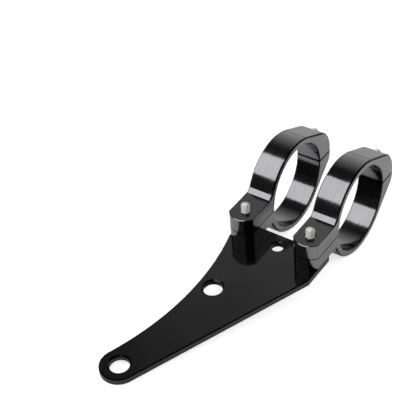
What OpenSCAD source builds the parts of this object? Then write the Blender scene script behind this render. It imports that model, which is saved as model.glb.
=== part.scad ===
// Headlight mounting bracket: a flat arm plate carried on a fork tube by two split ring clamps.
// The origin is the centre of the outer clamp's bore, on the plane where its halves meet.
// X runs along the fork tube, Y from the arm's tip towards the tube, Z up off the plate.

/* [Fork clamps] */
// Diameter of the clamps' bore, which is the fork tube's
bore_d = 49; // [41:0.5:56]
// Wall of the ring round the bore
ring_wall = 4; // [3:0.25:6]
// Width of each clamp along the tube
clamp_w = 15.5; // [14:0.5:20]
// Distance between the middles of the two clamps
clamp_pitch = 40.5; // [34:0.5:60]
// Gap left between the two halves of a clamp
split_gap = 0.6; // [0.3:0.1:1.2]
// Chamfer along the clamps' outer edges
clamp_chamfer = 0.8; // [0.3:0.1:1]
// Chamfer at both mouths of the bore
bore_chamfer = 0.6; // [0.3:0.1:1]

/* [Screw ears] */
// Height of the cap ear's flat top over the split
ear_h = 9.3; // [7:0.1:13]
// Distance from the ring's outer wall to the ear's screw
ear_screw_out = 12.8; // [11:0.2:18]
// Radius of the ear's round end about its screw
ear_end_r = 9; // [8:0.25:12]
// Height that the flat bevel climbs from the ear's top to the ring
ear_bevel_rise = 2.2; // [1:0.1:3]
// Slope of that bevel
ear_bevel_slope = 42; // [35:1:50]
// Chamfer along the ears' and feet's outer edges
ear_chamfer = 0.3; // [0.2:0.1:0.8]
// Height of the base's foot from the plate to the split
foot_h = 7.3; // [6:0.1:12]
// Fillet between the foot's underside and the ring
foot_fillet = 3; // [1:0.25:4]

/* [Far lugs] */
// How far the lug stands out from the ring's outer wall
lug_out = 8.5; // [7.5:0.25:12]
// Slope of the lug's top face
lug_top_slope = 26; // [20:1:34]
// Slope of the lug's underside
lug_under_slope = 42; // [38:1:50]
// Radius of the lug's upper corner
lug_top_round = 16; // [12:0.5:17]
// Radius of the lug's lower corner
lug_under_round = 7; // [4:0.5:8]
// Distance from the lug's end face to its screw
lug_screw_in = 5.5; // [5:0.25:7]
// Depth from the split to the seat of the lug screw's head
lug_seat = 4.5; // [3.5:0.25:6]

/* [Screws] */
// Thread diameter of all four screws
screw_d = 5; // [4:0.5:6]
// Diameter of the screw heads
head_d = 8.5; // [7:0.25:10]
// Height of the screw heads
head_h = 5; // [4:0.25:6]
// Width across flats of the hex sockets
socket_w = 4; // [3:0.5:5]
// Depth of the hex sockets
socket_depth = 2.6; // [2:0.2:3.4]
// Length under the head of the screws through the plate
ear_screw_len = 25; // [22:1:35]
// Length under the head of the lug screws
lug_screw_len = 20; // [16:1:30]
// Clearance round a screw where it passes freely
screw_clear = 0.25; // [0.15:0.05:0.5]
// Clearance round a screw in its thread
thread_clear = 0.05; // [0.03:0.01:0.1]
// Clearance round a screw head in its pocket
head_clear = 0.35; // [0.2:0.05:0.6]
// Chamfer at a screw's tip and at a threaded hole's mouth
thread_lead = 0.6; // [0.3:0.1:0.9]

/* [Arm plate] */
// Thickness of the plate
plate_t = 4; // [3:0.5:6]
// Chamfer along the plate's edges
plate_chamfer = 0.5; // [0.2:0.1:0.8]
// Distance from the ear screws to the plate's end under the rings
plate_end = 7.6; // [6:0.2:9]
// Radius of the plate's two corners at that end
plate_corner = 2; // [1:0.25:4]
// Length of the straight side, back from the ear screws
side_len = 15.2; // [12:0.2:25]
// Distance from the ear screws back to the tip hole
arm_len = 111.7; // [90:0.5:150]
// Sideways distance of the tip hole from the plate's middle
arm_shift = 22.7; // [10:0.1:30]
// Radius of the arm's round tip
tip_r = 10.4; // [8.5:0.2:14]
// Distance from the plate's middle to the deepest point of the curved edge
waist = 21.7; // [20:0.1:24]
// Distance from the ear screws back to that deepest point
waist_back = 50.6; // [44:0.2:56]

/* [Arm holes] */
// Diameter of the hole at the arm's tip
tip_hole_d = 10.5; // [6:0.5:12]
// Diameter of the hole midway along the arm
mid_hole_d = 10.5; // [6:0.5:14]
// Distance from the ear screws back to the middle hole
mid_back = 44.6; // [30:0.2:70]
// Sideways distance of the middle hole from the plate's middle
mid_shift = 12.7; // [5:0.1:14]
// Diameter of the small hole between the feet
small_hole_d = 7; // [4:0.5:9]
// Distance from the ear screws back to the small hole
small_back = 1; // [0:0.2:4]
// Chamfer at both ends of the tip and middle holes
hole_chamfer = 0.8; // [0.3:0.1:1.2]
// Chamfer at both ends of the small hole
small_chamfer = 0.5; // [0.2:0.1:0.8]

/* [Hidden] */

$fn = 96;
// Overrun of a cut past the face that it opens
over = 1;
black = "#1b1b1d";
steel = "#d8d8da";

bore_r = bore_d / 2;
ring_r = bore_r + ring_wall;
screw_r = screw_d / 2;
half_gap = split_gap / 2;

clamp_xs = [0, -clamp_pitch];
plate_mid_x = -clamp_pitch / 2;
plate_half = (clamp_pitch + clamp_w) / 2;

ear_screw_y = -(ring_r + ear_screw_out);
ear_end_y = ear_screw_y - ear_end_r;
lug_end_y = ring_r + lug_out;
lug_screw_y = lug_end_y - lug_screw_in;

plate_top = -foot_h;
plate_bottom = plate_top - plate_t;
plate_end_y = ear_screw_y + plate_end;
side_end_y = ear_screw_y - side_len;

tip = [-arm_shift, ear_screw_y - arm_len];
side_corner = [plate_half, side_end_y];
// Both long edges run into the round tip just inside its rim, so that its surfaces cross theirs
tip_lap = 0.05;
touch_r = tip_r - tip_lap;
// The curved edge is one arc, deepest at the waist and touching the circle inside the tip's rim
scoop_across = tip.x + waist;
scoop_along = tip.y - (ear_screw_y - waist_back);
scoop_r = (scoop_across * scoop_across + scoop_along * scoop_along - touch_r * touch_r)
    / (2 * (touch_r - scoop_across));
scoop = [-waist - scoop_r, ear_screw_y - waist_back];
scoop_touch = tip + touch_r * unit(scoop - tip);
// The straight edge runs from the side's corner to touch the same circle
tip_touch = touch_point(side_corner, tip, touch_r);

function unit(v) = v / norm(v);
function turned(v) = [-v.y, v.x];
function polar(r, a) = [r * cos(a), r * sin(a)];

// The point where a line from p touches the circle about c, on the line's right-hand side
function touch_point(p, c, r) =
    let (d = norm(p - c), u = unit(p - c), a = acos(r / d))
    c + r * (cos(a) * u - sin(a) * turned(u));

// Centre of a fillet of radius r between the level z and the ring's wall, on the ear's side
function fillet_centre(z, r) =
    let (zc = z + sign(z) * r) [-sqrt(pow(ring_r + r, 2) - zc * zc), zc];

// Stands a profile drawn as (Y, Z) upright and gives it the clamp's width along X
module across() {
    translate([-clamp_w / 2, 0, 0]) rotate([90, 0, 90]) children();
}

module chamfered_disc(r, h, c, angle = 360) {
    rotate_extrude(angle = angle) polygon([[0, 0], [r - c, 0], [r, c], [r, h - c], [r - c, h], [0, h]]);
}

// A round cut right through a thickness h, with both mouths chamfered by c
module flared_cut(r, h, c) {
    rotate_extrude() polygon([
        [0, -over], [r + c + over, -over], [r, c], [r, h - c], [r + c + over, h + over], [0, h + over]]);
}

// A prism on the outline pts, which runs anticlockwise, chamfered at both ends along the listed edges
module chamfered_prism(pts, edges, h, c) {
    difference() {
        linear_extrude(h) polygon(pts);
        for (e = edges) {
            p = pts[e];
            q = pts[(e + 1) % len(pts)];
            u = unit(q - p);
            translate([p.x - over * u.x, p.y - over * u.y, 0])
                rotate([0, 0, atan2(u.y, u.x)])
                rotate([90, 0, 90])
                linear_extrude(norm(q - p) + 2 * over) {
                    polygon([[-over, -over], [c + over, -over], [-over, c + over]]);
                    polygon([[-over, h + over], [-over, h - c - over], [c + over, h + over]]);
                }
        }
    }
}

// The outer part of a ring lug: a face at the slope, an end face and a round corner between them
module lug(slope, round_r, side) {
    a = side * (90 - slope);
    n = polar(1, a);
    corner_z = (ring_r - lug_end_y * n.x) / n.y;
    centre_y = lug_end_y - round_r;
    centre = [centre_y, (ring_r - round_r - centre_y * n.x) / n.y];
    reach = 3 * round_r;
    outline = [[0, 0], [lug_end_y, 0], [lug_end_y, corner_z], ring_r * n];
    across() {
        difference() {
            chamfered_prism(side > 0 ? outline : [for (i = [3:-1:0]) outline[i]],
                side > 0 ? [1, 2] : [0, 1], clamp_w, clamp_chamfer);
            translate([0, 0, -over]) linear_extrude(clamp_w + 2 * over)
                polygon([centre, centre + reach * n, centre + reach * (n + [1, 0]), centre + [reach, 0]]);
        }
        translate(centre) chamfered_disc(round_r, clamp_w, clamp_chamfer);
    }
}

// The solid between a level face at height z and the ring, with its corner hollowed to radius r
module ring_fillet(z, r) {
    c = fillet_centre(z, r);
    across() difference() {
        linear_extrude(clamp_w)
            polygon([[c.x, z], c, ring_r * unit(c), (ring_r - r) * unit([c.x, z])]);
        translate(c) flared_cut(r, clamp_w, clamp_chamfer);
    }
}

// The wedge under the flat bevel that runs from the ear's top up to the ring
module ear_bevel() {
    up = polar(1, ear_bevel_slope);
    high = ear_h + ear_bevel_rise;
    meet = [-sqrt(ring_r * ring_r - high * high), high];
    foot = meet - ear_bevel_rise / up.y * up;
    across() chamfered_prism(
        [foot - over * up, [meet.x, ear_h - over], meet + over * up], [2], clamp_w, clamp_chamfer);
}

// The ear or foot that carries the clamp's screw, from the split to the level z, with a round end
module ear(z) {
    low = min(z, 0);
    intersection() {
        across() chamfered_prism(
            [[ear_end_y, low], [0, low], [0, max(z, 0)], [ear_end_y, max(z, 0)]],
            z > 0 ? [2] : [], clamp_w, ear_chamfer);
        union() {
            translate([0, ear_screw_y, low - ear_chamfer])
                chamfered_disc(ear_end_r, abs(z) + ear_chamfer + (z > 0 ? 0 : ear_chamfer), ear_chamfer);
            translate([-clamp_w, ear_screw_y, low - over])
                cube([2 * clamp_w, -ear_screw_y, abs(z) + 2 * over]);
        }
    }
}

// The half of the space that a clamp half may fill, above or below the split
module half_space(side) {
    size = 4 * lug_end_y;
    translate([-size / 2, -size / 2, side > 0 ? half_gap : -half_gap - size]) cube(size);
}

module ring_half(side) {
    difference() {
        intersection() {
            union() {
                across() chamfered_disc(ring_r, clamp_w, clamp_chamfer);
                children();
            }
            half_space(side);
        }
        across() flared_cut(bore_r, clamp_w, bore_chamfer);
    }
}

// The upper half of a clamp, with its threaded ear in front and its threaded lug behind
module clamp_cap() {
    hole_r = screw_r + thread_clear;
    color(black) difference() {
        ring_half(1) {
            ear(ear_h);
            ear_bevel();
            lug(lug_top_slope, lug_top_round, 1);
        }
        for (y = [ear_screw_y, lug_screw_y])
            translate([0, y, 0]) cylinder(r = hole_r, h = ring_r);
        translate([0, ear_screw_y, ear_h - thread_lead])
            cylinder(r1 = hole_r, r2 = hole_r + thread_lead + over, h = thread_lead + over);
    }
}

// The lower half of a clamp, with its foot on the plate and the lug screw's pocket behind
module clamp_base() {
    color(black) difference() {
        ring_half(-1) {
            ear(-foot_h);
            ring_fillet(-foot_h, foot_fillet);
            lug(lug_under_slope, lug_under_round, -1);
        }
        for (y = [ear_screw_y, lug_screw_y])
            translate([0, y, -ring_r]) cylinder(r = screw_r + screw_clear, h = ring_r);
        translate([0, lug_screw_y, -lug_seat - ring_r])
            cylinder(r = head_d / 2 + head_clear, h = ring_r);
    }
}

// A socket head screw standing on its head, with the seat at z = 0
module cap_screw(len) {
    difference() {
        rotate_extrude() polygon([
            [0, -head_h], [head_d / 2 - thread_lead, -head_h],
            [head_d / 2, -head_h + thread_lead], [head_d / 2, 0],
            [screw_r, 0], [screw_r, len - thread_lead], [screw_r - thread_lead, len], [0, len]]);
        translate([0, 0, -head_h - over])
            cylinder(d = socket_w / cos(30), h = socket_depth + over, $fn = 6);
    }
}

module screws(y, seat, len) {
    color(steel) for (x = clamp_xs) translate([x, y, seat]) cap_screw(len);
}

// The straight-sided part of the plate, cut back square where its two round corners go
module plate_blank() {
    end_in = plate_end_y - plate_corner;
    half_in = plate_half - plate_corner;
    difference() {
        chamfered_prism(
            [[plate_half, end_in], [half_in, end_in], [half_in, plate_end_y],
             [-half_in, plate_end_y], [-half_in, end_in], [-plate_half, end_in],
             [-plate_half, scoop.y], scoop_touch - over * unit(tip - scoop_touch),
             tip, tip_touch, side_corner],
            [2, 5, 9, 10], plate_t, plate_chamfer);
        translate(scoop) flared_cut(scoop_r, plate_t, plate_chamfer, $fn = 720);
    }
    for (side = [1, -1])
        translate([side * half_in, end_in, 0]) rotate([0, 0, side > 0 ? 0 : 90])
            chamfered_disc(plate_corner, plate_t, plate_chamfer, 90);
    translate(tip) chamfered_disc(tip_r, plate_t, plate_chamfer);
}

module arm_plate() {
    color(black) translate([plate_mid_x, 0, plate_bottom]) difference() {
        plate_blank();
        translate(tip) flared_cut(tip_hole_d / 2, plate_t, hole_chamfer);
        translate([-mid_shift, ear_screw_y - mid_back]) flared_cut(mid_hole_d / 2, plate_t, hole_chamfer);
        translate([0, ear_screw_y - small_back]) flared_cut(small_hole_d / 2, plate_t, small_chamfer);
        for (x = clamp_xs) translate([x - plate_mid_x, ear_screw_y, -over])
            cylinder(r = screw_r + screw_clear, h = plate_t + 2 * over);
    }
}

module outer_base() { translate([clamp_xs[0], 0, 0]) clamp_base(); }
module outer_cap() { translate([clamp_xs[0], 0, 0]) clamp_cap(); }
module inner_base() { translate([clamp_xs[1], 0, 0]) clamp_base(); }
module inner_cap() { translate([clamp_xs[1], 0, 0]) clamp_cap(); }
module ear_screws() { screws(ear_screw_y, plate_bottom, ear_screw_len); }
module lug_screws() { screws(lug_screw_y, -lug_seat, lug_screw_len); }

arm_plate();
outer_base();
outer_cap();
inner_base();
inner_cap();
ear_screws();
lug_screws();
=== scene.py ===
import math

import bpy
import numpy as np
from mathutils import Matrix, Vector


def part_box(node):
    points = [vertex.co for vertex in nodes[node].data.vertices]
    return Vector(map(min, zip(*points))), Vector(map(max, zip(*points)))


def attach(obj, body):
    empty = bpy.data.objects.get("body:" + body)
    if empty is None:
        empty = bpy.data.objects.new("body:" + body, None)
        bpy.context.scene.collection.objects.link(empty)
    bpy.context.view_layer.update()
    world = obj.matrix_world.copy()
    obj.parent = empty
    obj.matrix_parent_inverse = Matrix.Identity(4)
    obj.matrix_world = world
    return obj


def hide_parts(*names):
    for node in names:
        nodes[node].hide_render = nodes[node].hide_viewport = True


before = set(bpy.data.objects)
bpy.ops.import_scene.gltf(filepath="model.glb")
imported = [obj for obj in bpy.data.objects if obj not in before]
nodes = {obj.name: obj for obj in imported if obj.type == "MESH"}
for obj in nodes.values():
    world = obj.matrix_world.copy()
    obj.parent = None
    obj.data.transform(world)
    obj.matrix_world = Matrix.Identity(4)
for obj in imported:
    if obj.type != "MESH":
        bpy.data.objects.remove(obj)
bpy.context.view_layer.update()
print("loaded", len(nodes), "parts of the bracket")


# Camera

cameraAt = {
    "place": (0.22285, -0.40589, 0.40078),
    "ahead": (-0.470538, 0.593501, -0.652955),
    "across": (0.820499, 0.566529, -0.076329),  # the picture's right-hand side
    "focalPixels": 1100.92,
    "picturePixels": 416,
    "sensorMm": 36.0,
    "nearest": 0.01,
    "farthest": 30.0,
}


def placeCamera(v):
    data = bpy.data.cameras.new("photoCamera")
    data.sensor_width = v["sensorMm"]
    data.lens = v["sensorMm"] * v["focalPixels"] / v["picturePixels"]
    data.clip_start, data.clip_end = v["nearest"], v["farthest"]
    back = -Vector(v["ahead"]).normalized()
    right = Vector(v["across"]).normalized()
    turn = Matrix((right, back.cross(right), back)).transposed().to_4x4()
    cam = bpy.data.objects.new("photoCamera", data)
    cam.matrix_world = Matrix.Translation(v["place"]) @ turn
    bpy.context.scene.collection.objects.link(cam)
    bpy.context.scene.camera = cam


placeCamera(cameraAt)
print("camera placed")


# Mesh helpers

def meshObject(name, points, faces, smoothDeg=None):
    mesh = bpy.data.meshes.new(name)
    mesh.from_pydata(points.reshape(-1, 3).tolist(), [], faces)
    mesh.update()
    if smoothDeg is not None:
        mesh.shade_smooth()
        mesh.set_sharp_from_angle(angle=math.radians(smoothDeg))
    obj = bpy.data.objects.new(name, mesh)
    bpy.context.scene.collection.objects.link(obj)
    return obj


# Quads of a grid of rows by columns points, closed round the columns if it is wrapped
def gridFaces(rows, columns, wrapped=False):
    i, j = np.meshgrid(np.arange(rows - 1), np.arange(columns if wrapped else columns - 1), indexing="ij")
    k = (j + 1) % columns
    quads = np.stack([i * columns + j, i * columns + k, (i + 1) * columns + k, (i + 1) * columns + j], -1)
    return quads.reshape(-1, 4).tolist()


# Node helpers

class NodeSheet:
    def __init__(self, tree):
        self.tree = tree

    def add(self, kind, **values):
        node = self.tree.nodes.new(kind)
        for key, value in values.items():
            setattr(node, key, value)
        return node

    def link(self, source, target):
        self.tree.links.new(source, target)

    # Links a socket, or sets a plain value on the input itself
    def feed(self, value, target):
        if isinstance(value, bpy.types.NodeSocket):
            self.link(value, target)
        else:
            target.default_value = value

    def math(self, operation, *inputs, clamp=False):
        node = self.add("ShaderNodeMath", operation=operation, use_clamp=clamp)
        for slot, value in enumerate(inputs):
            self.feed(value, node.inputs[slot])
        return node.outputs[0]

    def vector(self, operation, *inputs):
        node = self.add("ShaderNodeVectorMath", operation=operation)
        for slot, value in enumerate(inputs):
            isScale = operation == "SCALE" and slot == 1
            self.feed(value, node.inputs["Scale" if isScale else slot])
        return node.outputs["Value" if operation in ("DOT_PRODUCT", "LENGTH") else "Vector"]

    def noise(self, vector, scale, detail, roughness):
        node = self.add("ShaderNodeTexNoise")
        self.feed(vector, node.inputs["Vector"])
        self.feed(scale, node.inputs["Scale"])
        node.inputs["Detail"].default_value = detail
        node.inputs["Roughness"].default_value = roughness
        return node.outputs["Fac"]

    # One axis of the object's own coordinates, or of its normals
    def axis(self, output, letter):
        split = self.add("ShaderNodeSeparateXYZ")
        self.link(self.add("ShaderNodeTexCoord").outputs[output], split.inputs[0])
        return split.outputs[letter]

    # Spreads a value from one range over another, and holds it at the ends
    def spread(self, value, low, high, toLow, toHigh):
        node = self.add("ShaderNodeMapRange")
        labels = ("Value", "From Min", "From Max", "To Min", "To Max")
        for label, given in zip(labels, (value, low, high, toLow, toHigh)):
            self.feed(given, node.inputs[label])
        return node.outputs["Result"]

    def blend(self, share, first, second):
        node = self.add("ShaderNodeMix", data_type="RGBA")
        for label, given in zip(("Factor_Float", "A_Color", "B_Color"), (share, first, second)):
            self.feed(given, next(s for s in node.inputs if s.identifier == label))
        return next(s for s in node.outputs if s.identifier == "Result_Color")

    def group(self, tree, **values):
        node = self.add("ShaderNodeGroup", node_tree=tree)
        for key, value in values.items():
            self.feed(value, node.inputs[key])
        return node.outputs


def newGroup(name, inputs, outputs):
    tree = bpy.data.node_groups.new(name, "ShaderNodeTree")
    for label, start in inputs.items():
        socket = tree.interface.new_socket(label, in_out="INPUT", socket_type="NodeSocketFloat")
        socket.default_value = start
    for label, kind in outputs.items():
        tree.interface.new_socket(label, in_out="OUTPUT", socket_type=kind)
    sheet = NodeSheet(tree)
    return tree, sheet, sheet.add("NodeGroupInput").outputs, sheet.add("NodeGroupOutput").inputs


# Shared effects

# Cutter marks that run round the tube's axis: each fine band across the width leans a little
# along the cut, so a sharp reflection gets a stepped edge. Leans and streaks both come from one noise,
# stretched round the axis by reading the point's direction from it and not its place.
def cutterMarks():
    tree, s, given, out = newGroup(
        "cutterMarks", {"Bands": 1400.0, "Lean": 0.05, "Round": 1.6},
        {"Normal": "NodeSocketVector", "Streak": "NodeSocketFloat"})
    flat = s.add("ShaderNodeCombineXYZ")
    s.link(s.axis("Object", "Y"), flat.inputs["Y"])
    s.link(s.axis("Object", "Z"), flat.inputs["Z"])
    aroundAxis = s.vector("SCALE", s.vector("NORMALIZE", flat.outputs[0]), given["Round"])
    across = s.add("ShaderNodeCombineXYZ")
    s.link(s.math("MULTIPLY", s.axis("Object", "X"), given["Bands"]), across.inputs["X"])
    grain = s.noise(s.vector("ADD", aroundAxis, across.outputs[0]), 1.0, detail=3.0, roughness=0.6)
    normal = s.add("ShaderNodeNewGeometry").outputs["Normal"]
    along = s.vector("CROSS_PRODUCT", (1.0, 0.0, 0.0), normal)
    lean = s.math("MULTIPLY", s.math("SUBTRACT", grain, 0.5), given["Lean"])
    s.link(s.vector("NORMALIZE", s.vector("ADD", normal, s.vector("SCALE", along, lean))), out["Normal"])
    s.link(grain, out["Streak"])
    return tree


# Slow cloudy change over the surface, with a finer speckle on top
def dyeClouds():
    tree, s, given, out = newGroup(
        "dyeClouds", {"Cloud": 60.0, "Speckle": 2500.0, "Share": 0.3},
        {"Value": "NodeSocketFloat", "Speck": "NodeSocketFloat"})
    point = s.add("ShaderNodeTexCoord").outputs["Object"]
    cloud = s.noise(point, given["Cloud"], detail=3.0, roughness=0.55)
    speck = s.noise(point, given["Speckle"], detail=1.0, roughness=0.5)
    rest = s.math("MULTIPLY", cloud, s.math("SUBTRACT", 1.0, given["Share"]))
    s.link(s.math("ADD", rest, s.math("MULTIPLY", speck, given["Share"])), out["Value"])
    s.link(speck, out["Speck"])
    return tree


# Edge shade: how far the rounded normal turns from the true one within the radius, the mask for painted
# shade on rounded edges
def edgeShadeMask():
    tree, s, given, out = newGroup(
        "edgeShadeMask", {"Radius": 0.0008, "Gain": 9.0}, {"Mask": "NodeSocketFloat"})
    bevel = s.add("ShaderNodeBevel", samples=6)
    s.link(given["Radius"], bevel.inputs["Radius"])
    trueNormal = s.add("ShaderNodeNewGeometry").outputs["True Normal"]
    turned = s.math("SUBTRACT", 1.0, s.vector("DOT_PRODUCT", bevel.outputs[0], trueNormal))
    s.link(s.math("MULTIPLY", turned, given["Gain"], clamp=True), out["Mask"])
    return tree


cutAngles = {
    "chamferWithin": 0.06, "chamferGone": 0.2,  # how far a chamfer's share may be off, fully and at all
    "sideBelow": 0.2, "sideGone": 0.5,
}


# Which of the cut faces a point lies on, told by its normal's share along one axis: the flat faces
# across that axis have all of it, the sides along it none, and the chamfers between them cos 45 degrees
def cutFaces(v):
    tree, s, given, out = newGroup(
        "cutFaces", {"Share": 0.0}, {"Chamfer": "NodeSocketFloat", "Side": "NodeSocketFloat"})
    size = s.math("ABSOLUTE", given["Share"])
    off = s.math("ABSOLUTE", s.math("SUBTRACT", size, math.cos(math.pi / 4)))
    s.link(s.spread(off, v["chamferWithin"], v["chamferGone"], 1.0, 0.0), out["Chamfer"])
    s.link(s.spread(size, v["sideBelow"], v["sideGone"], 1.0, 0.0), out["Side"])
    return tree


marksGroup, cloudsGroup = cutterMarks(), dyeClouds()
edgesGroup, facesGroup = edgeShadeMask(), cutFaces(cutAngles)
print("shared effects built")


# Finishes

# The parts of a noise's range that the tones and the roughness are spread over
toneRange = (0.35, 0.65)
roughRange = (0.3, 0.7)


def newFinish(name):
    material = bpy.data.materials.new(name)
    material.use_nodes = True
    s = NodeSheet(material.node_tree)
    return material, s, material.node_tree.nodes["Principled BSDF"]


# The edge colour is painted shade: near-black on the rings' chamfers, and in a band along the split
# between base and cap on the lug side
clampFinish = {
    "dark": (0.215, 0.215, 0.222, 1), "light": (0.265, 0.265, 0.272, 1), "edge": (0.012, 0.012, 0.0125, 1),
    "smooth": 0.09, "rough": 0.17,
    "marks": {"Bands": 1400.0, "Lean": 0.05, "Round": 1.6},
    "clouds": {"Cloud": 45.0, "Speckle": 3200.0, "Share": 0.25},
    "streakShare": 0.6,
    "earEnd": -0.0413, "earFade": 0.0005,  # where the ears' round ends start, which keep their tone
    "split": 0.0003, "splitShade": 0.0006,  # half of the gap, and how far the painted shade along it spreads
    "splitShadeFade": 0.001,  # the painted shade along the split starts within this behind the tube's middle
}


def clampMetal(v):
    material, s, shader = newFinish("clampMetal")
    marks = s.group(marksGroup, **v["marks"])
    clouds = s.group(cloudsGroup, **v["clouds"])
    faces = s.group(facesGroup, Share=s.axis("Normal", "X"))
    streaks = s.math("MULTIPLY", marks["Streak"], v["streakShare"])
    cloudy = s.math("MULTIPLY", clouds["Value"], 1.0 - v["streakShare"])
    tone = s.spread(s.math("ADD", streaks, cloudy), *toneRange, 0.0, 1.0)
    y = s.axis("Object", "Y")
    level = s.math("ABSOLUTE", s.axis("Object", "Z"))
    # Painted shade on the rings' chamfers, which take the near-black edge colour; the ears' round ends
    # keep their tone
    onRing = s.spread(y, v["earEnd"], v["earEnd"] + v["earFade"], 0.0, 1.0)
    chamfers = s.math("MULTIPLY", faces["Chamfer"], onRing)
    # Painted shade along the split, where the gap between base and cap lies in shade, in the near-black
    # edge colour
    nearSplit = s.spread(level, v["split"] + v["splitShade"] / 2, v["split"] + v["splitShade"], 1.0, 0.0)
    splitShade = s.math("MULTIPLY", nearSplit, s.spread(y, 0.0, v["splitShadeFade"], 0.0, 1.0))
    plain = s.blend(tone, v["dark"], v["light"])
    s.link(s.blend(s.math("MAXIMUM", chamfers, splitShade), plain, v["edge"]), shader.inputs["Base Color"])
    s.link(s.spread(clouds["Value"], *roughRange, v["smooth"], v["rough"]), shader.inputs["Roughness"])
    s.link(marks["Normal"], shader.inputs["Normal"])
    shader.inputs["Metallic"].default_value = 1.0
    return material


plateFinish = {
    "dark": (0.13, 0.13, 0.134, 1), "light": (0.16, 0.16, 0.165, 1), "edge": (0.03, 0.03, 0.031, 1),
    "side": (0.062, 0.062, 0.064, 1),
    "smooth": 0.06, "rough": 0.13,
    "clouds": {"Cloud": 28.0, "Speckle": 2600.0, "Share": 0.2},
    "edges": {"Radius": 0.0008, "Gain": 9.0},
    "edgeShare": 0.85,
    "peel": 900.0, "peelDepth": 0.0000015,
}


def plateMetal(v):
    material, s, shader = newFinish("plateMetal")
    clouds = s.group(cloudsGroup, **v["clouds"])
    edges = s.group(edgesGroup, **v["edges"])
    faces = s.group(facesGroup, Share=s.axis("Normal", "Z"))
    tone = s.spread(clouds["Value"], *toneRange, 0.0, 1.0)
    # Painted shade: the plate's rounded edges and chamfers take the near-black edge colour
    shadedEdges = s.math("MAXIMUM", s.math("MULTIPLY", edges["Mask"], v["edgeShare"]), faces["Chamfer"])
    plain = s.blend(faces["Side"], s.blend(tone, v["dark"], v["light"]), v["side"])
    s.link(s.blend(shadedEdges, plain, v["edge"]), shader.inputs["Base Color"])
    s.link(s.spread(clouds["Value"], *roughRange, v["smooth"], v["rough"]), shader.inputs["Roughness"])
    point = s.add("ShaderNodeTexCoord").outputs["Object"]
    bump = s.add("ShaderNodeBump")
    bump.inputs["Distance"].default_value = v["peelDepth"]
    s.link(s.noise(point, v["peel"], detail=2.0, roughness=0.4), bump.inputs["Height"])
    s.link(bump.outputs[0], shader.inputs["Normal"])
    shader.inputs["Metallic"].default_value = 1.0
    return material


screwFinish = {
    # The groove colour is painted shade in the thread's grooves
    "bright": (0.97, 0.965, 0.945, 1), "dull": (0.88, 0.875, 0.85, 1), "groove": (0.1, 0.098, 0.09, 1),
    "smooth": 0.36, "rough": 0.56, "metallic": 0.45,
    "clouds": {"Cloud": 420.0, "Speckle": 6000.0, "Share": 0.4},
    "grooveShadeShare": 0.9,
    "speckDepth": 0.000008,
}


def screwMetal(v):
    material, s, shader = newFinish("screwMetal")
    clouds = s.group(cloudsGroup, **v["clouds"])
    groove = s.add("ShaderNodeAttribute", attribute_name="grooveDepth").outputs["Fac"]
    plain = s.blend(s.spread(clouds["Value"], *toneRange, 0.0, 1.0), v["dull"], v["bright"])
    # Painted shade: the thread's grooves darken towards the groove colour by their depth
    grooveShaded = s.blend(s.math("MULTIPLY", groove, v["grooveShadeShare"]), plain, v["groove"])
    s.link(grooveShaded, shader.inputs["Base Color"])
    s.link(s.spread(clouds["Value"], *roughRange, v["smooth"], v["rough"]), shader.inputs["Roughness"])
    bump = s.add("ShaderNodeBump")
    bump.inputs["Distance"].default_value = v["speckDepth"]
    s.link(clouds["Speck"], bump.inputs["Height"])
    s.link(bump.outputs[0], shader.inputs["Normal"])
    shader.inputs["Metallic"].default_value = v["metallic"]
    return material


def dress(names, material):
    for name in names:
        for slot in nodes[name].material_slots:
            slot.material = material


screwSteel = screwMetal(screwFinish)
dress(["outer_base", "outer_cap", "inner_base", "inner_cap"], clampMetal(clampFinish))
dress(["arm_plate"], plateMetal(plateFinish))
print("finishes on the clamps and the plate")


# Screws

screw = {
    "radius": 0.0025, "pitch": 0.0008, "threadDepth": 0.00042, "lead": 0.0006,
    "steepness": 2.5, "crest": 0.1,  # how steeply a groove's flanks fall, and the part that stays crest
    "headRadius": 0.00425, "headHeight": 0.005, "underRound": 0.0002,
    "knurls": 36, "knurlDepth": 0.00012, "knurlInset": 0.0001, "knurlStart": 1.3,  # the last in leads
    "socketWidth": 0.004, "socketDepth": 0.0026, "socketLead": 0.0002,
    "threaded": 0.014, "ringsPerTurn": 10, "columns": 72, "smoothDeg": 38,
}


# One socket screw as rings of radius by height and angle, from the socket's floor round the head and up
# the shank to the tip. The thread takes a depth off the radius that follows the fraction of a turn, height
# over pitch less angle over a full turn, and the end's chamfer caps it.
def screwRings(v, length):
    angle = np.linspace(0, 2 * np.pi, v["columns"], endpoint=False)
    plain = np.ones_like(angle)
    sector = (angle + np.pi / 6) % (np.pi / 3) - np.pi / 6
    hexagon = v["socketWidth"] / 2 / np.cos(sector)
    knurl = v["headRadius"] - v["knurlDepth"] * (0.5 - 0.5 * np.cos(v["knurls"] * angle))
    top, lead, r, head = -v["headHeight"], v["lead"], v["radius"], v["headRadius"]
    shoulder = length - v["threaded"]
    body = [
        (top + v["socketDepth"], hexagon),
        (top + v["socketLead"], hexagon),
        (top, hexagon + v["socketLead"]),
        (top, (head - lead) * plain),
        (top + lead, (head - v["knurlInset"]) * plain),
        (top + lead * v["knurlStart"], knurl),
        (-lead, knurl),
        (-v["underRound"], head * plain),
        (0, (head - v["underRound"]) * plain),
        (0, r * plain),
        (shoulder, r * plain),
    ]
    steps = int(v["threaded"] / v["pitch"] * v["ringsPerTurn"])
    z = np.linspace(shoulder, length, steps + 1)[1:, None]
    turn = (z / v["pitch"] - angle / (2 * np.pi)) % 1
    runIn = np.clip((z - shoulder) / v["pitch"], 0, 1)
    cut = np.clip(np.abs(turn - 0.5) * v["steepness"] - v["crest"], 0, 1) * runIn
    thread = np.minimum(r - v["threadDepth"] * cut, r - np.clip(z - (length - lead), 0, None))
    height = np.concatenate([np.array([h for h, _ in body])[:, None] * plain, z * plain])
    radius = np.concatenate([np.array([ring for _, ring in body]), thread])
    depth = np.concatenate([np.zeros((len(body), len(angle))), cut])
    return np.stack([radius * np.cos(angle), radius * np.sin(angle), height], -1), depth


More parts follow.
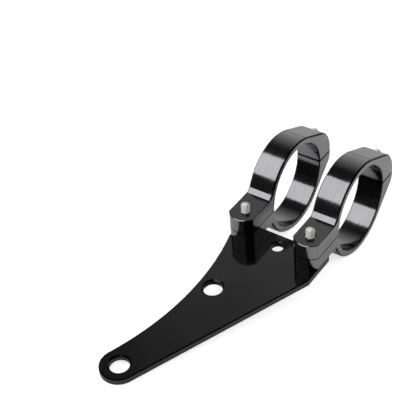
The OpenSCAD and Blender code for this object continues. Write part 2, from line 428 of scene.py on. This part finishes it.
# The rings are joined by quads and closed by fans at the socket's floor and the tip, once for each seat
def screwPiece(name, v, length, seats, node):
    rings, depth = screwRings(v, length)
    rows, columns = rings.shape[:2]
    ends = np.array([[0, 0, rings[0, 0, 2]], [0, 0, rings[-1, 0, 2]]])
    one = np.concatenate([rings.reshape(-1, 3), ends])
    turn = np.arange(columns)
    after = (turn + 1) % columns
    count, last = rows * columns, (rows - 1) * columns
    floors = np.stack([np.full(columns, count), after, turn], -1)
    tips = np.stack([np.full(columns, count + 1), last + turn, last + after], -1)
    faces = gridFaces(rows, columns, wrapped=True) + floors.tolist() + tips.tolist()
    points = np.concatenate([one + np.array(seat) for seat in seats])
    allFaces = [[i + k * len(one) for i in face] for k in range(len(seats)) for face in faces]
    obj = meshObject(name, points, allFaces, v["smoothDeg"])
    groove = obj.data.attributes.new("grooveDepth", "FLOAT", "POINT")
    depths = np.tile(np.concatenate([depth.ravel(), [0, 0]]), len(seats))
    groove.data.foreach_set("value", depths.astype(np.float32))
    obj.data.materials.append(screwSteel)
    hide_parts(node)
    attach(obj, "root")


for name, node in (("threadedEarScrews", "ear_screws"), ("threadedLugScrews", "lug_screws")):
    low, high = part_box(node)
    seat, middleY, r = low.z + screw["headHeight"], (low.y + high.y) / 2, screw["headRadius"]
    screwPiece(name, screw, high.z - seat, [(low.x + r, middleY, seat), (high.x - r, middleY, seat)], node)
print("screws threaded")


# Floor

floorSheet = {
    "ringRadius": 0.0285, "tipChamfer": 0.0005, "clearance": 0.0001,
    "slopeGuess": 0.1, "rounds": 20,
    "levelFront": -0.2, "levelBack": 0.16, "ease": 0.012,  # level past these, eased over this length
    "fineHalf": 0.35, "fineLines": 61, "farStart": 0.5, "farHalf": 4.5, "farLines": 10, "smoothDeg": 60,
    "glow": 0.7, "mirrored": 0.04, "colour": (0.9, 0.9, 0.9, 1),
}


def makeMatt(shader, colour):
    shader.inputs["Base Color"].default_value = colour
    shader.inputs["Emission Color"].default_value = (1, 1, 1, 1)
    shader.inputs["Roughness"].default_value = 1.0
    shader.inputs["Specular IOR Level"].default_value = 0.0


# The sheet slopes so that the rings and the arm's tip both stand on it, and is level further out.
# Height is the slope's, taken at the place along it, which is clamped softly at both ends: the difference
# of two softplus curves.
def layFloor(v):
    low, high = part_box("arm_plate")
    tipY, tipZ = low.y + v["tipChamfer"], low.z
    slope = v["slopeGuess"]
    for _ in range(v["rounds"]):
        slope = (v["ringRadius"] * math.hypot(1, slope) + tipZ) / -tipY
    drop = -v["ringRadius"] * math.hypot(1, slope) - v["clearance"]
    fine = np.linspace(-v["fineHalf"], v["fineHalf"], v["fineLines"])
    far = np.linspace(v["farStart"], v["farHalf"], v["farLines"])
    line = np.concatenate([-far[::-1], fine, far])
    y, x = np.meshgrid(line, line, indexing="ij")
    a, b, w = v["levelFront"], v["levelBack"], v["ease"]
    along = a + w * np.logaddexp(0, (y - a) / w) - w * np.logaddexp(0, (y - b) / w)
    points = np.stack([x, y, drop - slope * along], -1)
    obj = meshObject("paleSheet", points, gridFaces(len(line), len(line)), v["smoothDeg"])
    material, s, shader = newFinish("paleSheet")
    makeMatt(shader, v["colour"])
    path = s.add("ShaderNodeLightPath").outputs
    byMirror = s.math("MAXIMUM", path["Is Glossy Ray"], path["Is Transmission Ray"])
    seen = s.math("MULTIPLY", path["Is Camera Ray"], v["glow"])
    glow = s.math("ADD", seen, s.math("MULTIPLY", byMirror, v["mirrored"]))
    s.link(glow, shader.inputs["Emission Strength"])
    obj.data.materials.append(material)


layFloor(floorSheet)
print("floor laid")


# Light

softBox = {"low": (-1.35, -1.29, 0.95), "high": (0.25, -0.04, 0.95), "radiance": 2.0, "second": 0.09}
sheetBox = {"low": softBox["low"], "high": softBox["high"], "radiance": 6.0}
fillBox = {"low": (0.7, -0.5, 1.0), "high": (1.7, 0.7, 1.0), "radiance": 3.0}


def hangBox(name, v):
    low, high = Vector(v["low"]), Vector(v["high"])
    lamp = bpy.data.lights.new(name, "AREA")
    lamp.shape = "RECTANGLE"
    lamp.size, lamp.size_y = high.x - low.x, high.y - low.y
    lamp.energy = v["radiance"] * math.pi * lamp.size * lamp.size_y
    obj = bpy.data.objects.new(name, lamp)
    obj.location = (low + high) / 2
    bpy.context.scene.collection.objects.link(obj)
    return obj


# The soft box that the metal mirrors is dimmer where it comes by way of a second mirror. In a lamp's
# nodes the ray's depth is 2 at the first mirror and 3 at the second.
def hangMirroredBox(v):
    obj = hangBox("softBox", v)
    obj.visible_diffuse = False
    obj.data.use_nodes = True
    s = NodeSheet(obj.data.node_tree)
    depth = s.add("ShaderNodeLightPath").outputs["Ray Depth"]
    strength = s.tree.nodes["Emission"].inputs["Strength"]
    s.link(s.spread(depth, 2.0, 3.0, 1.0, v["second"]), strength)


hangMirroredBox(softBox)
# The sheet is lit from the same side and by a fill from the right, which the metal doesn't show
for name, box in (("sheetBox", sheetBox), ("fillBox", fillBox)):
    hangBox(name, box).visible_glossy = False
print("boxes hung")

darkRoom = {
    "radius": 6.5, "columns": 64, "rows": 24, "lowest": -0.5, "roofGap": 0.02, "smoothDeg": 60,
    "glowTowards": (0.0, 1.0, 0.0), "glowEdge": 0.35, "glow": 0.85, "rise": 1.5,
    "walls": 0.03, "ambient": 0.04,
}


# The studio round the sheet, which the camera doesn't see: dark walls in the gloss, paler low down
# behind. The glow is a power of how far the direction lies past the edge towards the pale side, and
# the sheet gets at least a weak, even light from the walls.
def buildRoom(v):
    turn, rise = np.meshgrid(
        np.linspace(0, 2 * np.pi, v["columns"], endpoint=False),
        np.linspace(v["lowest"], np.pi / 2 - v["roofGap"], v["rows"]))
    across = np.cos(rise)
    points = v["radius"] * np.stack([across * np.cos(turn), across * np.sin(turn), np.sin(rise)], -1)
    roof = list(range((v["rows"] - 1) * v["columns"], v["rows"] * v["columns"]))
    faces = gridFaces(v["rows"], v["columns"], wrapped=True) + [roof]
    obj = meshObject("darkRoom", points, faces, v["smoothDeg"])
    obj.visible_camera = False
    material, s, shader = newFinish("darkRoom")
    makeMatt(shader, (0, 0, 0, 1))
    direction = s.vector("NORMALIZE", s.add("ShaderNodeTexCoord").outputs["Object"])
    towards = s.vector("DOT_PRODUCT", direction, v["glowTowards"])
    past = s.spread(towards, v["glowEdge"], 1.0, 0.0, 1.0)
    glow = s.math("MULTIPLY", s.math("POWER", past, v["rise"]), v["glow"])
    least = s.math("MULTIPLY", s.add("ShaderNodeLightPath").outputs["Is Diffuse Ray"], v["ambient"])
    s.link(s.math("MAXIMUM", s.math("ADD", glow, v["walls"]), least), shader.inputs["Emission Strength"])
    obj.data.materials.append(material)


buildRoom(darkRoom)

# Painted shade: dark cards that only the metal's mirror sees, where the sheet lies in shade between and
# beside the rings
shadeCards = {
    "ground": -0.0285,
    "colour": (0.02, 0.02, 0.02, 1),
    "cards": {  # both feet's X and Y, and the height
        "leftShadeCard": ((-0.095, -0.02), (-0.05, -0.02), 0.026),
        "middleShadeCard": ((-0.0325, 0.0), (-0.008, 0.0), 0.022),
        "mouthShadeCard": ((-0.0082, 0.0), (-0.0082, -0.02), 0.022),
    },
}


# Black cards that stand on the sheet beside the rings and are seen only in the metal's mirror, where they
# hide the pale sheet from the bores: painted shade in the bores' reflections, for the sheet lying in shade
# there. They are clear from the back, so that nothing on the other side shows them.
def standShadeCards(v):
    material, s, shader = newFinish("shadeCardBlack")
    shader.inputs["Base Color"].default_value = v["colour"]
    shader.inputs["Roughness"].default_value = 1.0
    clear, either = s.add("ShaderNodeBsdfTransparent"), s.add("ShaderNodeMixShader")
    s.link(s.add("ShaderNodeNewGeometry").outputs["Backfacing"], either.inputs["Fac"])
    s.link(shader.outputs[0], either.inputs[1])
    s.link(clear.outputs[0], either.inputs[2])
    s.link(either.outputs[0], material.node_tree.nodes["Material Output"].inputs["Surface"])
    for name, ((x0, y0), (x1, y1), height) in v["cards"].items():
        low, high = v["ground"], v["ground"] + height
        points = np.array([(x0, y0, low), (x1, y1, low), (x1, y1, high), (x0, y0, high)])
        obj = meshObject(name, points, [[3, 2, 1, 0]])
        obj.data.materials.append(material)
        obj.visible_camera = obj.visible_diffuse = obj.visible_shadow = False


standShadeCards(shadeCards)
print("room and flags stand")

surround = {"colour": (1, 1, 1, 1), "strength": 1.0}


def wrapWorld(v):
    world = bpy.data.worlds.new("paleSurround")
    world.use_nodes = True
    background = world.node_tree.nodes["Background"]
    background.inputs["Color"].default_value = v["colour"]
    background.inputs["Strength"].default_value = v["strength"]
    bpy.context.scene.world = world


wrapWorld(surround)
bpy.context.scene.view_settings.view_transform = "Standard"
print("light set")
